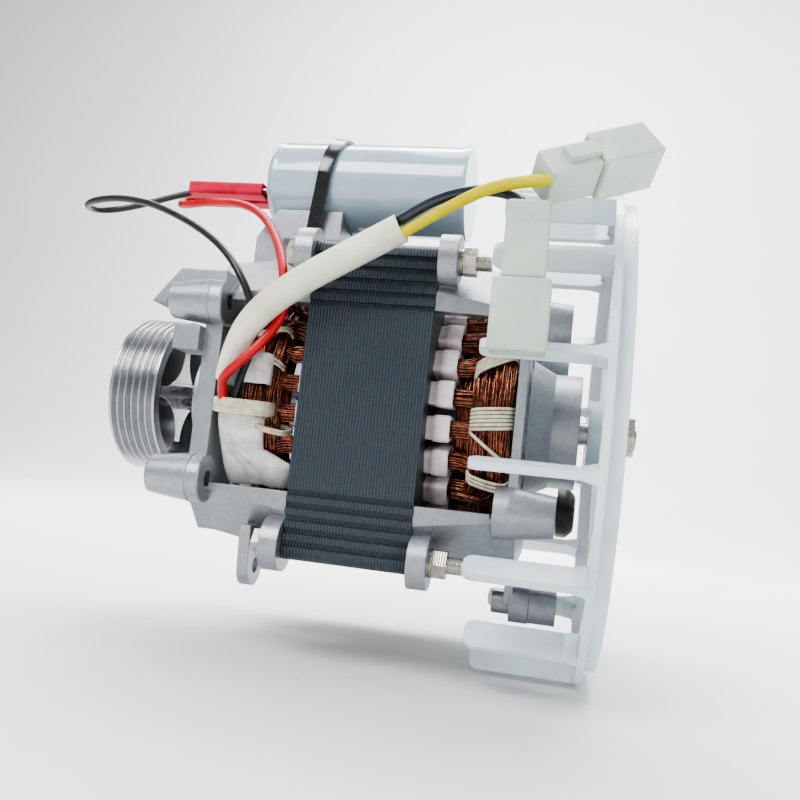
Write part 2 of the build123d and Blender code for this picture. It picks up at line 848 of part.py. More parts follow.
with BuildPart() as rotor_cage:
    with BuildSketch(across(-stack_face)):
        with PolarLocations(bar_circle, bar_count):
            Rectangle(bar_height, bar_width)
    extrude(amount=stack_length)
    for x in (-stack_face - ring_length, stack_face):
        with BuildSketch(across(x)):
            Circle(ring_outer)
            Circle(ring_inner, mode=Mode.SUBTRACT)
        extrude(amount=ring_length)

# Pulley: grooved rim, web at the far left, and a four-pointed hub inside the recess
groove_run = groove_count * groove_pitch
groove_left = (pulley_left + pulley_right - groove_run) / 2
rim_outline = [(pulley_left, pulley_rim_inner), (pulley_left, pulley_radius)]
for i in range(groove_count):
    left = groove_left + i * groove_pitch
    rim_outline += [
        (left + groove_flat / 2, pulley_radius),
        (left + groove_pitch / 2, pulley_radius - groove_depth),
        (left + groove_pitch - groove_flat / 2, pulley_radius),
    ]
rim_outline += [(pulley_right, pulley_radius), (pulley_right, pulley_rim_inner)]
with BuildPart() as pulley:
    turned(rim_outline)
    web_right = pulley_left + pulley_web
    turned([
        (pulley_left, pulley_seat_radius + fit_clearance), (pulley_left, pulley_rim_inner),
        (web_right, pulley_rim_inner), (web_right, pulley_seat_radius + fit_clearance),
    ])
    with BuildSketch(across(pulley_left)) as star:
        with BuildLine():
            for i in range(star_points):
                tips = [
                    (star_pitch * i + star_tip_half_angle, star_radius),
                    (star_pitch * i + star_pitch / 2, star_waist),
                    (star_pitch * i + star_pitch - star_tip_half_angle, star_radius),
                ]
                spots = [
                    (radius * math.cos(math.radians(angle)), radius * math.sin(math.radians(angle)))
                    for angle, radius in tips
                ]
                ThreePointArc(*spots)
                CenterArc((0, 0), star_radius, tips[2][0], 2 * star_tip_half_angle)
        make_face()
        Circle(pulley_seat_radius + fit_clearance, mode=Mode.SUBTRACT)
    extrude(star.sketch, amount=star_face - pulley_left)

# Cooling fan: a dished disc whose rim flange carries axial blades
with BuildPart() as blade:
    outline = face_of(
        lengthwise(),
        [
            (blade_tip, blade_inner), (flange_left + flange_thickness / 2, blade_inner),
            (flange_left + flange_thickness / 2, blade_outer), (blade_tip, blade_outer),
        ],
    )
    extrude(outline, amount=blade_root_thickness, both=True)
    tips = blade.edges().filter_by(Axis.Z).group_by(Axis.X)[0]
    fillet(tips, blade_corner)
    flare_left = blade_tip - overrun
    flare_start = flange_left - blade_root_length
    flare_end = flange_left + flange_thickness
    flare = face_of(
        lengthwise(z_dir=(0, -1, 0)),
        [
            (flare_left, blade_thickness / 2), (flare_start, blade_thickness / 2),
            (flare_end, blade_root_thickness / 2), (flare_end, -blade_root_thickness / 2),
            (flare_start, -blade_thickness / 2), (flare_left, -blade_thickness / 2),
        ],
    )
    extrude(flare, amount=2 * blade_outer, both=True, mode=Mode.INTERSECT)

with BuildPart() as cooling_fan:
    flange_right = flange_left + flange_thickness
    hub_bore = fan_seat_radius + fit_clearance
    turned([
        (flange_left, dish_radius - dish_wall), (flange_left, blade_outer), (flange_right, blade_outer),
        (flange_right, dish_radius), (dish_right, dish_radius), (dish_right, fan_hub_radius),
        (fan_hub_right, fan_hub_radius - dish_wall), (fan_hub_right, hub_bore), (fan_hub_left, hub_bore),
        (fan_hub_left, fan_hub_radius), (dish_right - dish_wall, fan_hub_radius),
        (dish_right - dish_wall, dish_radius - dish_wall),
    ])
    for i in range(blade_count):
        add(blade.part.rotate(Axis.X, blade_first_angle + 360 * i / blade_count))

with BuildPart() as fan_washer:
    with BuildSketch(across(fan_hub_right)):
        Circle(fan_washer_radius)
        Circle(hub_bore, mode=Mode.SUBTRACT)
    extrude(amount=fan_washer_height)

with BuildPart() as fan_nut:
    with BuildSketch(across(fan_hub_right + fan_washer_height)):
        RegularPolygon(fan_nut_flats / 2, 6, major_radius=False)
        Circle(hub_bore, mode=Mode.SUBTRACT)
    extrude(amount=fan_nut_height)

# Capacitor: a can with a rim at its closed end, a cap with two tabs, held down by a cable tie
with BuildPart() as capacitor_can:
    turned(
        [
            (can_left, 0), (can_left, can_radius), (can_right - can_rim_width, can_radius),
            (can_right - can_rim_width, can_rim_radius), (can_right, can_rim_radius), (can_right, 0),
        ],
        0,
        can_z,
    )

with BuildPart() as capacitor_cap:
    turned(
        [
            (can_left, 0), (can_left, can_radius), (cap_left + cap_edge, can_radius),
            (cap_left, can_radius - cap_edge), (cap_left, 0),
        ],
        0,
        can_z,
    )

with BuildPart() as capacitor_tabs:
    with BuildSketch(across(cap_left)) as tab_sections:
        with Locations(*[(y, tab_z) for y in tab_y]):
            Rectangle(tab_width, tab_thickness)
    extrude(tab_sections.sketch, amount=-tab_length)

with BuildPart() as cable_tie:
    tie_plane = Plane(origin=(face_to_stack + tie_x, 0, can_z), x_dir=(0, 1, 0), z_dir=(1, 0, 0))
    tie_plane = tie_plane.rotated((0, tie_tilt, 0))
    with BuildSketch(tie_plane):
        for grow, mode in ((tie_thickness, Mode.ADD), (0.0, Mode.SUBTRACT)):
            reach = can_rim_radius + grow
            corner = tie_corner_half + grow
            bottom = tie_bottom - can_z - grow
            with BuildLine():
                CenterArc((0, 0), reach, 0, 180)
                Polyline((reach, 0), (corner, bottom), (-corner, bottom), (-reach, 0))
            make_face(mode=mode)
    extrude(amount=tie_width / 2, both=True)
    with BuildSketch(tie_plane) as head:
        with Locations(tie_head_place):
            Rectangle(tie_head_height, tie_head)
    extrude(head.sketch, amount=tie_head / 2, both=True)

# Receptacles on the tabs, and the boots over them
boot_right = boot_left + boot_length


def boot_cells(x, length, width, height):
    """Rectangular blocks at both tabs, from x to the right."""
    with BuildSketch(across(x)) as cells:
        with Locations(*[(y, tab_z) for y in tab_y]):
            Rectangle(width, height)
    return extrude(cells.sketch, amount=length, mode=Mode.PRIVATE)


receptacle_left = boot_left + boot_neck
receptacle_width = boot_width - 2 * boot_wall
receptacle_height = boot_height - 2 * boot_wall
with BuildPart() as tab_receptacles:
    outer_width = receptacle_width - receptacle_gap
    outer_height = receptacle_height - receptacle_gap
    add(boot_cells(receptacle_left, receptacle_length, outer_width, outer_height))
    inner_width = receptacle_width - 2 * receptacle_wall
    inner_height = receptacle_height - 2 * receptacle_wall
    add(
        boot_cells(receptacle_left + receptacle_wall, boot_length, inner_width, inner_height),
        mode=Mode.SUBTRACT,
    )

with BuildPart() as tab_boots:
    add(boot_cells(boot_left, boot_length, boot_width, boot_height))
    fillet(tab_boots.edges().filter_by(Axis.X), boot_edge)
    add(
        boot_cells(receptacle_left, boot_length, receptacle_width, receptacle_height),
        mode=Mode.SUBTRACT,
    )

# Free leads and the sleeve that gathers them
with BuildPart() as black_lead:
    add(lead("black lead", black_route, black_diameter))

with BuildPart() as red_lead:
    add(lead("red lead", red_route, red_diameter))

with BuildPart() as lead_sleeve:
    add(lead("lead sleeve", sleeve_route, sleeve_diameter))

with BuildPart() as yellow_lead:
    add(lead("yellow lead", yellow_route, lead_diameter))

with BuildPart() as dark_lead:
    add(lead("dark lead", dark_route, lead_diameter))

# Connector on the yellow lead: a plug half with a latch, pushed into a socket half
yellow_plane = Plane(
    origin=yellow_connector_origin, x_dir=yellow_connector_direction, z_dir=yellow_connector_up
)
with BuildPart() as yellow_plug:
    with BuildSketch(yellow_plane.offset(-connector_height / 2)):
        with Locations((-mate_length / 2, 0)):
            Rectangle(connector_length - mate_length, connector_width)
    extrude(amount=connector_height)
    fillet(yellow_plug.edges(), connector_edge)
    with BuildSketch(yellow_plane.offset(connector_height / 2 - connector_edge)):
        with Locations(((connector_length - 2 * mate_length - latch_length) / 2, 0)):
            Rectangle(latch_length, connector_width / 2)
    extrude(amount=connector_edge + latch_height)

with BuildPart() as yellow_socket:
    with BuildSketch(yellow_plane.offset(-connector_height / 2 - mate_wall)):
        with Locations(((connector_length - mate_length) / 2, 0)):
            Rectangle(mate_length, connector_width + 2 * mate_wall)
    extrude(amount=connector_height + 2 * mate_wall)
    fillet(yellow_socket.edges(), connector_edge)

# Connector on the dark lead: it hangs below the lead's end
dark_place = (dark_connector_x, dark_connector_y)
with BuildPart() as dark_plug:
    with BuildSketch(Plane.XY.offset(dark_connector_top - dark_connector_length)):
        with Locations(dark_place):
            Rectangle(dark_connector_width, dark_connector_depth)
    extrude(amount=dark_connector_length)
    fillet(dark_plug.edges(), connector_edge)

with BuildPart() as dark_socket:
    with BuildSketch(Plane.XY.offset(dark_connector_top - dark_connector_length - dark_mate_length)):
        with Locations(dark_place):
            Rectangle(dark_mate_width, dark_mate_depth)
    extrude(amount=dark_mate_length)
    fillet(dark_socket.edges(), connector_edge)

pieces = {
    "stator_core": stator_core.part,
    "slot_liners": slot_liners.part,
    "slot_wedges": slot_wedges.part,
    "main_winding": main_winding.part,
    "start_winding": start_winding.part,
    "insulation_wrap": insulation_wrap.part,
    "drive_end_bracket": drive_end_bracket.part,
    "fan_end_bracket": fan_end_bracket.part,
    "mounting_bush": mounting_bush.part,
    "through_bolts": through_bolts.part,
    "spring_washers": spring_washers.part,
    "through_bolt_nuts": through_bolt_nuts.part,
    "drive_bearing_outer_ring": outer_ring(drive_bearing_left),
    "drive_bearing_inner_ring": inner_ring(drive_bearing_left),
    "drive_bearing_balls": ball_set(drive_bearing_left),
    "drive_bearing_cage": ball_cage(drive_bearing_left),
    "fan_bearing_outer_ring": outer_ring(fan_bearing_left),
    "fan_bearing_inner_ring": inner_ring(fan_bearing_left),
    "fan_bearing_balls": ball_set(fan_bearing_left),
    "fan_bearing_cage": ball_cage(fan_bearing_left),
    "preload_washer": preload_washer.part,
    "shaft": shaft.part,
    "rotor_core": rotor_core.part,
    "rotor_cage": rotor_cage.part,
    "pulley": pulley.part,
    "cooling_fan": cooling_fan.part,
    "fan_washer": fan_washer.part,
    "fan_nut": fan_nut.part,
    "capacitor_can": capacitor_can.part,
    "capacitor_cap": capacitor_cap.part,
    "capacitor_tabs": capacitor_tabs.part,
    "cable_tie": cable_tie.part,
    "tab_receptacles": tab_receptacles.part,
    "tab_boots": tab_boots.part,
    "black_lead": black_lead.part,
    "red_lead": red_lead.part,
    "lead_sleeve": lead_sleeve.part,
    "yellow_lead": yellow_lead.part,
    "dark_lead": dark_lead.part,
    "yellow_plug": yellow_plug.part,
    "yellow_socket": yellow_socket.part,
    "dark_plug": dark_plug.part,
    "dark_socket": dark_socket.part,
}
os.makedirs("parts", exist_ok=True)
for name, piece in pieces.items():
    piece.label = name
    export_step(piece, f"parts/{name}.step")
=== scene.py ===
import json
import math
import random

import bpy
from mathutils import Matrix, Vector


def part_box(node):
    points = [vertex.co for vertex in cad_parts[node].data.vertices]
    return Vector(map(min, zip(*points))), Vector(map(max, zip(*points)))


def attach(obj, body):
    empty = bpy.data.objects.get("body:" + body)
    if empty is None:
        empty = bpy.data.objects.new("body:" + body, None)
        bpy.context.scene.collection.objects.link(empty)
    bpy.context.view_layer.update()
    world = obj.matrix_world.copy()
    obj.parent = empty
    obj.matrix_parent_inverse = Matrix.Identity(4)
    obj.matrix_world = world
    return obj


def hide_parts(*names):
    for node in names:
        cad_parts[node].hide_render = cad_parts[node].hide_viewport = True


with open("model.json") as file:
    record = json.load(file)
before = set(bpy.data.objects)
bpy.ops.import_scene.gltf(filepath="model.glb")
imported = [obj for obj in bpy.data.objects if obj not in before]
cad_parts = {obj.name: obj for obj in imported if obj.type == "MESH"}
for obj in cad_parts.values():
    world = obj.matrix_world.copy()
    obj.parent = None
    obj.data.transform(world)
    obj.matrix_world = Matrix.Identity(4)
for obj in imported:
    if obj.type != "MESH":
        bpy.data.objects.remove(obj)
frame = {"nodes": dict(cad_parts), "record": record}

# Lengths are in millimetres and angles in degrees, unless a name or comment says otherwise
MM = 0.001
STACK_MIDDLE = 49.0
SEED = 7
random.seed(SEED)

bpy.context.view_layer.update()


def link(thing):
    """Adds an object to the scene and returns it."""
    bpy.context.scene.collection.objects.link(thing)
    return thing


# Camera: turned, tilted and rolled (in radians) and placed (in metres) as fitted to the photo
AZIMUTH, ELEVATION, ROLL = 0.19967, -0.09239, 0.10822
CAMERA_PLACE = (0.1108, -0.2947, -0.0216)
LENS, SENSOR_WIDTH = 36.92, 36.0
NEAREST, FARTHEST = 0.01, 20.0

back = Vector((
    math.sin(AZIMUTH) * math.cos(ELEVATION),
    -math.cos(AZIMUTH) * math.cos(ELEVATION),
    math.sin(ELEVATION),
))
level = Vector((math.cos(AZIMUTH), math.sin(AZIMUTH), 0.0))
upright = back.cross(level)
right = math.cos(ROLL) * level + math.sin(ROLL) * upright
up = -math.sin(ROLL) * level + math.cos(ROLL) * upright
camera_data = bpy.data.cameras.new("camera")
camera_data.lens = LENS
camera_data.sensor_width = SENSOR_WIDTH
camera_data.clip_start = NEAREST
camera_data.clip_end = FARTHEST
camera = link(bpy.data.objects.new("camera", camera_data))
camera.matrix_world = Matrix((
    *((right[i], up[i], back[i], CAMERA_PLACE[i]) for i in range(3)),
    (0.0, 0.0, 0.0, 1.0),
))
bpy.context.scene.camera = camera


# Finishes: every one is built from noise in the piece's own coordinates
RAMP_STOPS = (0.32, 0.68)
NOISE_RANGE = (0.3, 0.7)
BROAD_DETAIL, BROAD_ROUGHNESS, SMALL_DETAIL = 6.0, 0.6, 4.0
BAND_SCALE = 0.314  # the wave texture's scale for bands of a period of one metre
BAND_WOBBLE, BAND_DETAIL, BAND_DETAIL_SCALE = 1.2, 2.0, 0.6
RELIEF_METRES = 0.0003
EDGE_SAMPLES = 4


def set_sockets(node, values):
    """Sets input sockets by name, with an underscore for each space."""
    for socket, value in values.items():
        node.inputs[socket.replace("_", " ")].default_value = value


def add_node(tree, kind, **values):
    """Adds a shader node and sets its input sockets."""
    node = tree.nodes.new("ShaderNode" + kind)
    set_sockets(node, values)
    return node


def add_bands(tree, place, colour, height, direction, period, depth, darkest):
    """Darkens a colour and deepens a relief in bands across one axis, their period in metres."""
    wave = add_node(
        tree, "TexWave", Scale=BAND_SCALE / period, Distortion=BAND_WOBBLE, Detail=BAND_DETAIL,
        Detail_Scale=BAND_DETAIL_SCALE,
    )
    wave.bands_direction = direction
    tree.links.new(place, wave.inputs["Vector"])
    shade = add_node(tree, "MapRange", To_Min=darkest, To_Max=1.0)
    tree.links.new(wave.outputs["Fac"], shade.inputs["Value"])
    dimmed = add_node(tree, "VectorMath")
    dimmed.operation = "SCALE"
    tree.links.new(colour, dimmed.inputs[0])
    tree.links.new(shade.outputs["Result"], dimmed.inputs["Scale"])
    deepened = add_node(tree, "Math")
    deepened.operation = "MULTIPLY_ADD"
    deepened.inputs[1].default_value = depth
    tree.links.new(wave.outputs["Fac"], deepened.inputs[0])
    tree.links.new(height, deepened.inputs[2])
    return dimmed.outputs["Vector"], deepened.outputs["Value"]


def surface(
    name, low, high, grain, rough, bump=0.15, metal=0.0, lines=None, fine=900.0, edge=0.0, **sockets
):
    """A finish whose colour and roughness vary over broad noise, with a relief of fine noise.

    low and high are the colours, grain and fine the two noises' scales, lines the bands'
    direction, period, depth and darkest shade, and edge the radius in metres that edges get
    in the shading."""
    made = bpy.data.materials.new(name)
    made.use_nodes = True
    tree = made.node_tree
    shader = tree.nodes["Principled BSDF"]
    place = add_node(tree, "TexCoord").outputs["Object"]
    broad = add_node(
        tree, "TexNoise", Scale=grain, Detail=BROAD_DETAIL, Roughness=BROAD_ROUGHNESS
    )
    tree.links.new(place, broad.inputs["Vector"])
    ramp = add_node(tree, "ValToRGB")
    for stop, position, shade in zip(ramp.color_ramp.elements, RAMP_STOPS, (low, high)):
        stop.position = position
        stop.color = (*shade, 1.0)
    tree.links.new(broad.outputs["Fac"], ramp.inputs["Fac"])
    small = add_node(tree, "TexNoise", Scale=fine, Detail=SMALL_DETAIL)
    tree.links.new(place, small.inputs["Vector"])
    colour, height = ramp.outputs["Color"], small.outputs["Fac"]
    if lines:
        colour, height = add_bands(tree, place, colour, height, *lines)
    tree.links.new(colour, shader.inputs["Base Color"])
    spread = add_node(
        tree, "MapRange", From_Min=NOISE_RANGE[0], From_Max=NOISE_RANGE[1],
        To_Min=rough[0], To_Max=rough[1],
    )
    tree.links.new(broad.outputs["Fac"], spread.inputs["Value"])
    tree.links.new(spread.outputs["Result"], shader.inputs["Roughness"])
    relief = add_node(tree, "Bump", Strength=bump, Distance=RELIEF_METRES)
    tree.links.new(height, relief.inputs["Height"])
    if edge:
        rounded = add_node(tree, "Bevel", Radius=edge)
        rounded.samples = EDGE_SAMPLES
        tree.links.new(rounded.outputs["Normal"], relief.inputs["Normal"])
    tree.links.new(relief.outputs["Normal"], shader.inputs["Normal"])
    set_sockets(shader, {"Metallic": metal, **sockets})
    return made


lacquer = surface(
    "lacquered_laminations", (0.010, 0.021, 0.031), (0.030, 0.055, 0.078), 1400.0, (0.28, 0.46),
    0.5, lines=("X", 0.0010, 1.8, 0.30), fine=2600.0, Coat_Weight=0.1, Coat_Roughness=0.35,
)
film = surface("pink_film", (0.66, 0.54, 0.55), (0.86, 0.78, 0.80), 300.0, (0.5, 0.7), 0.3)
copper = surface(
    "enamelled_copper", (0.022, 0.006, 0.004), (0.43, 0.120, 0.048), 620.0, (0.16, 0.32), 0.15,
    metal=0.75, Coat_Weight=0.6, Coat_Roughness=0.15,
)
cloth = surface("white_cloth", (0.50, 0.50, 0.44), (0.82, 0.84, 0.84), 140.0, (0.7, 0.9), 0.6)
lacing_finish = surface(
    "cream_lacing", (0.40, 0.37, 0.26), (0.72, 0.68, 0.52), 500.0, (0.6, 0.8), 0.5
)
casting = surface(
    "cast_aluminium", (0.28, 0.295, 0.315), (0.35, 0.37, 0.395), 420.0, (0.33, 0.42), 0.45,
    metal=0.8, fine=1700.0, edge=0.0007,
)
bars = surface(
    "cage_aluminium", (0.09, 0.095, 0.10), (0.20, 0.205, 0.21), 200.0, (0.4, 0.6), 0.4, metal=0.8
)
turned_metal = surface(
    "machined_aluminium", (0.38, 0.39, 0.40), (0.52, 0.53, 0.54), 40.0, (0.18, 0.28), 0.15,
    metal=0.92, lines=("X", 0.0004, 0.5, 0.85),
)
rubber = surface(
    "black_rubber", (0.016, 0.013, 0.012), (0.070, 0.056, 0.048), 160.0, (0.32, 0.5), 0.3
)
zinc = surface(
    "zinc_plate", (0.32, 0.30, 0.24), (0.56, 0.54, 0.47), 380.0, (0.22, 0.38), 0.2,
    metal=0.95, lines=("X", 0.0008, 1.4, 0.8),
)
ground = surface(
    "ground_steel", (0.34, 0.34, 0.35), (0.52, 0.52, 0.53), 220.0, (0.2, 0.34), 0.12, metal=0.95
)
milky = surface(
    "milky_polypropylene", (0.62, 0.75, 0.80), (0.77, 0.87, 0.90), 60.0, (0.26, 0.36), 0.12,
    edge=0.0008, Subsurface_Weight=0.35, Subsurface_Scale=0.004, Transmission_Weight=0.12,
    Coat_Weight=0.2,
)
grey_plastic = surface(
    "pale_grey_plastic", (0.33, 0.44, 0.52), (0.41, 0.52, 0.59), 70.0, (0.12, 0.20), 0.06,
    Coat_Weight=0.8, Coat_Roughness=0.05,
)
tinned = surface(
    "tinned_brass", (0.50, 0.46, 0.34), (0.70, 0.66, 0.52), 500.0, (0.25, 0.4), 0.2, metal=0.9
)
black_plastic = surface(
    "black_nylon", (0.003, 0.003, 0.004), (0.009, 0.009, 0.010), 300.0, (0.16, 0.28), 0.15,
    Coat_Weight=0.5, Coat_Roughness=0.08,
)
red_vinyl = surface(
    "red_vinyl", (0.46, 0.008, 0.032), (0.62, 0.032, 0.075), 160.0, (0.5, 0.65), 0.1,
    edge=0.0010, Specular_IOR_Level=0.1,
)
black_wire = surface(
    "black_wire", (0.003, 0.004, 0.004), (0.010, 0.012, 0.012), 150.0, (0.26, 0.42), 0.2
)
red_wire = surface(
    "red_wire", (0.38, 0.004, 0.006), (0.55, 0.012, 0.018), 150.0, (0.3, 0.45), 0.12,
    Specular_IOR_Level=0.35,
)
cream = surface(
    "cream_sleeving", (0.62, 0.59, 0.43), (0.76, 0.78, 0.68), 60.0, (0.3, 0.45), 0.15,
    Subsurface_Weight=0.2, Subsurface_Scale=0.003,
)
yellow_wire = surface(
    "yellow_wire", (0.54, 0.44, 0.0), (0.64, 0.54, 0.0), 150.0, (0.36, 0.5), 0.1,
    Specular_IOR_Level=0.3,
)
navy_wire = surface(
    "navy_wire", (0.005, 0.009, 0.022), (0.013, 0.022, 0.045), 150.0, (0.25, 0.4), 0.1,
    Coat_Weight=0.2,
)
nylon = surface(
    "natural_nylon", (0.47, 0.58, 0.50), (0.61, 0.69, 0.60), 90.0, (0.25, 0.38), 0.1,
    edge=0.0006, Subsurface_Weight=0.3, Subsurface_Scale=0.004, Transmission_Weight=0.15,
)
FINISH_OF_SLOT = {
    "lamination_steel": lacquer, "insulating_film": film, "enamelled_copper": copper,
    "white_cloth": cloth, "cast_aluminium": casting, "cage_aluminium": bars,
    "machined_aluminium": turned_metal, "black_rubber": rubber, "zinc_steel": zinc,
    "bearing_steel": ground, "shaft_steel": ground, "milky_plastic": milky,
    "grey_plastic": grey_plastic, "tinned_brass": tinned, "black_plastic": black_plastic,
    "red_plastic": red_vinyl, "black_insulation": black_wire, "red_insulation": red_wire,
    "cream_sleeving": cream, "yellow_insulation": yellow_wire, "navy_insulation": navy_wire,
    "natural_nylon": nylon,
}
slots = {part["node"]: part["material_slot"] for part in frame["record"]["subparts"]}
nodes = frame["nodes"]
for name, thing in nodes.items():
    thing.data.materials.clear()
    thing.data.materials.append(FINISH_OF_SLOT[slots[name]])


# Soft edges on moulded, turned and stamped pieces
SOFT_EDGES = {
    "capacitor_can": 0.5, "capacitor_cap": 0.8, "tab_boots": 0.9, "pulley": 0.15,
    "mounting_bush": 1.2, "cable_tie": 0.2, "stator_core": 0.12,
}
WELD_METRES = 0.000005
EDGE_SEGMENTS, SHARPEST_SMOOTH = 3, 32
for name, width in SOFT_EDGES.items():
    weld = nodes[name].modifiers.new("weld", "WELD")
    weld.merge_threshold = WELD_METRES
    bevel = nodes[name].modifiers.new("soft_edges", "BEVEL")
    bevel.width = width * MM
    bevel.segments = EDGE_SEGMENTS
    bevel.limit_method = "ANGLE"
    bevel.angle_limit = math.radians(SHARPEST_SMOOTH)


def add_spline(data, points, shares=None):
    """Adds a smooth open line with the points as control points and shares of its thickness."""
    spline = data.splines.new("NURBS")
    spline.points.add(len(points) - 1)
    for i, (x, y, z) in enumerate(points):
        spline.points[i].co = (x * MM, y * MM, z * MM, 1.0)
        spline.points[i].radius = shares[i] if shares else 1.0
    spline.order_u = 3
    spline.use_endpoint_u = True


def round_curve(name, diameter, steps, sides):
    """An empty curve object that is thickened to a round cord or wire."""
    data = bpy.data.curves.new(name, "CURVE")
    data.dimensions = "3D"
    data.resolution_u = steps
    data.bevel_depth = diameter * MM / 2
    data.bevel_resolution = sides
    return link(bpy.data.objects.new(name, data))


# Leads and sleeve: their control points follow the photo
BLACK_POINTS = [
    (-39.5, -4.0, 80.3), (-46.5, -4.8, 78.2), (-56.0, -6.5, 74.4), (-66.0, -8.0, 71.0),
    (-73.5, -12.0, 68.6), (-74.5, -20.0, 67.5), (-67.5, -26.5, 67.8), (-56.0, -29.5, 68.3),
    (-42.5, -31.8, 66.4), (-29.4, -35.5, 61.4), (-16.8, -40.5, 55.2), (-5.3, -46.0, 47.8),
    (3.4, -50.2, 39.4), (9.0, -50.4, 30.0), (11.4, -47.4, 20.5), (9.0, -45.8, 11.0),
    (6.8, -46.4, 2.5), (5.6, -46.0, -5.6),
]
RED_POINTS = [
    (-39.5, 6.0, 81.2), (-45.6, 6.0, 81.2), (-47.6, 1.5, 77.0), (-41.5, -4.0, 75.1),
    (-31.0, -8.5, 75.0), (-20.0, -12.0, 74.3), (-9.0, -18.0, 71.0), (0.5, -26.0, 64.6),
    (8.6, -35.0, 55.8), (15.4, -44.0, 46.0), (19.8, -50.8, 36.0), (21.4, -50.8, 26.0),
    (17.8, -55.2, 16.2), (10.6, -57.6, 7.6), (5.0, -55.4, 3.0), (3.2, -49.6, -0.8),
    (3.0, -46.8, -6.6),
]
SLEEVE_POINTS = [
    (1.8, -49.0, 3.2), (5.2, -51.4, 11.0), (12.6, -55.6, 23.0), (26.5, -58.8, 33.6),
    (42.5, -60.4, 42.7), (58.6, -62.0, 51.7),
]
SLEEVE_SHARES = [0.4, 0.8, 1.0, 1.0, 1.0, 1.0]
YELLOW_POINTS = [
    (55.3, -61.5, 47.7), (65.8, -66.5, 52.6), (76.7, -74.0, 56.2), (86.0, -82.5, 57.4),
    (94.0, -88.5, 57.0), (103.0, -89.5, 57.6),
]
DARK_POINTS = [
    (53.3, -61.5, 50.9), (63.5, -65.2, 56.9), (73.3, -69.5, 59.8), (82.0, -74.5, 59.6),
    (90.0, -80.5, 57.2), (95.6, -86.5, 52.6), (97.3, -89.8, 45.5),
]
CORD_STEPS, CORD_SIDES = 12, 6


def free_cord(node, points, diameter, finish, shares=None, caps=True):
    """A lead or sleeve that stands for its CAD node, its round ends closed unless caps is off."""
    cord = round_curve(node + "_cord", diameter, CORD_STEPS, CORD_SIDES)
    cord.data.use_fill_caps = caps
    add_spline(cord.data, points, shares)
    cord.data.materials.append(finish)
    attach(cord, "root")
    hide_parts(node)


free_cord(
    "black_lead", BLACK_POINTS, 2.5, black_wire
)
free_cord("red_lead", RED_POINTS, 3.0, red_wire)
free_cord("lead_sleeve", SLEEVE_POINTS, 9.0, cream, shares=SLEEVE_SHARES, caps=False)
free_cord(
    "yellow_lead", YELLOW_POINTS, 3.3, yellow_wire,
)
free_cord(
    "dark_lead", DARK_POINTS, 3.3, navy_wire
)


# Windings: bundles of enamelled strands that come out of the slots and turn over at both ends
SLOT_COUNT, SLOT_PITCH = 24, 15.0
POLES, SLOTS_PER_POLE = 4, 6
WIRE = 0.72
STRAND_STEPS = 3
LEG_START, LEG_RUN = 20.5, 5.5
BEND_STEPS, RUN_STEP = 3, 6.0
FREE_POINTS = 3  # from a strand's end until it sways in full
SWAY, SLOWEST, QUICKEST = 0.75, 0.5, 1.1
DRIFT_PACE, DRIFT_ROUND, DRIFT_ALONG = 1.3, 0.5, 0.7
FULL_TURN, GOLDEN_ANGLE = 6.28, 2.39996  # in radians


def slot_degrees(number):
    return SLOT_PITCH * (number - 0.5)


def hairpin(side, x_end, radius, first, last, bend, across, outward, lift=0.0):
    """Points of one strand that leaves slot first, turns over at x_end and enters slot last.

    across and outward are its place in the bundle's section, and lift raises its free part."""
    start, stop = (math.radians(slot_degrees(number)) * radius for number in (first, last))
    reach = bend + across
    points = [
        (LEG_START, start - across), (LEG_START + LEG_RUN, start - across),
        (x_end - bend, start - across),
    ]
    for i in range(1, BEND_STEPS + 1):
        turn = math.pi / 2 * i / BEND_STEPS
        points.append((
            x_end - bend + reach * math.sin(turn), start + bend - reach * math.cos(turn),
        ))
    run_length = stop - start - 2 * bend
    count = max(2, int(run_length / RUN_STEP))
    for i in range(1, count):
        points.append((x_end + across, start + bend + run_length * i / count))
    for i in range(BEND_STEPS):
        turn = math.pi / 2 * (1 - i / BEND_STEPS)
        points.append((
            x_end - bend + reach * math.sin(turn), stop - bend + reach * math.cos(turn),
        ))
    points += [
        (x_end - bend, stop + across), (LEG_START + LEG_RUN, stop + across),
        (LEG_START, stop + across),
    ]
    strand = []
    phase, pace = random.uniform(0, FULL_TURN), random.uniform(SLOWEST, QUICKEST)
    last_place = len(points) - 1
    for i, (x, run) in enumerate(points):
        free = min(1.0, min(i, last_place - i) / FREE_POINTS)
        sway = SWAY * free * math.sin(pace * i + phase)
        drift = SWAY * free * math.cos(DRIFT_PACE * pace * i + 2 * phase)
        angle = (run + DRIFT_ROUND * drift) / radius
        distance = radius + outward + sway + lift * free
        x_row = STACK_MIDDLE + side * (x + DRIFT_ALONG * drift)
        strand.append((x_row, distance * math.cos(angle), distance * math.sin(angle)))
    return strand


def packed(wide, tall, count):
    """Cross-section places of strands, spread evenly in an oval."""
    places = []
    for i in range(count):
        share = math.sqrt((i + 0.5) / count)
        turn = GOLDEN_ANGLE * i
        places.append((wide * share * math.cos(turn), tall * share * math.sin(turn)))
    return places


def strand_object(name, strands, diameter, finish, sides=0):
    """One object of many wires on the stator's body."""
    bundle = round_curve(name, diameter, STRAND_STEPS, sides)
    for points in strands:
        add_spline(bundle.data, points)
    bundle.data.materials.append(finish)
    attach(bundle, "root")
    return bundle


# Half widths and number of strands of each bundle's section
MAIN_BUNDLE, START_BUNDLE, RING_BUNDLE = (2.7, 2.9, 46), (3.2, 2.3, 60), (2.5, 1.9, 44)
# Side of the stack, then how far from its middle the coils turn over
MAIN_ENDS = ((1, 36.4, 41.6), (-1, 33.0, 38.4))
START_ENDS = ((1, 42.6), (-1, 38.6))
RING_END = 30.8
UNDERLAYER_DEPTH, UNDERLAYER_LIMIT = 6.0, 1.6

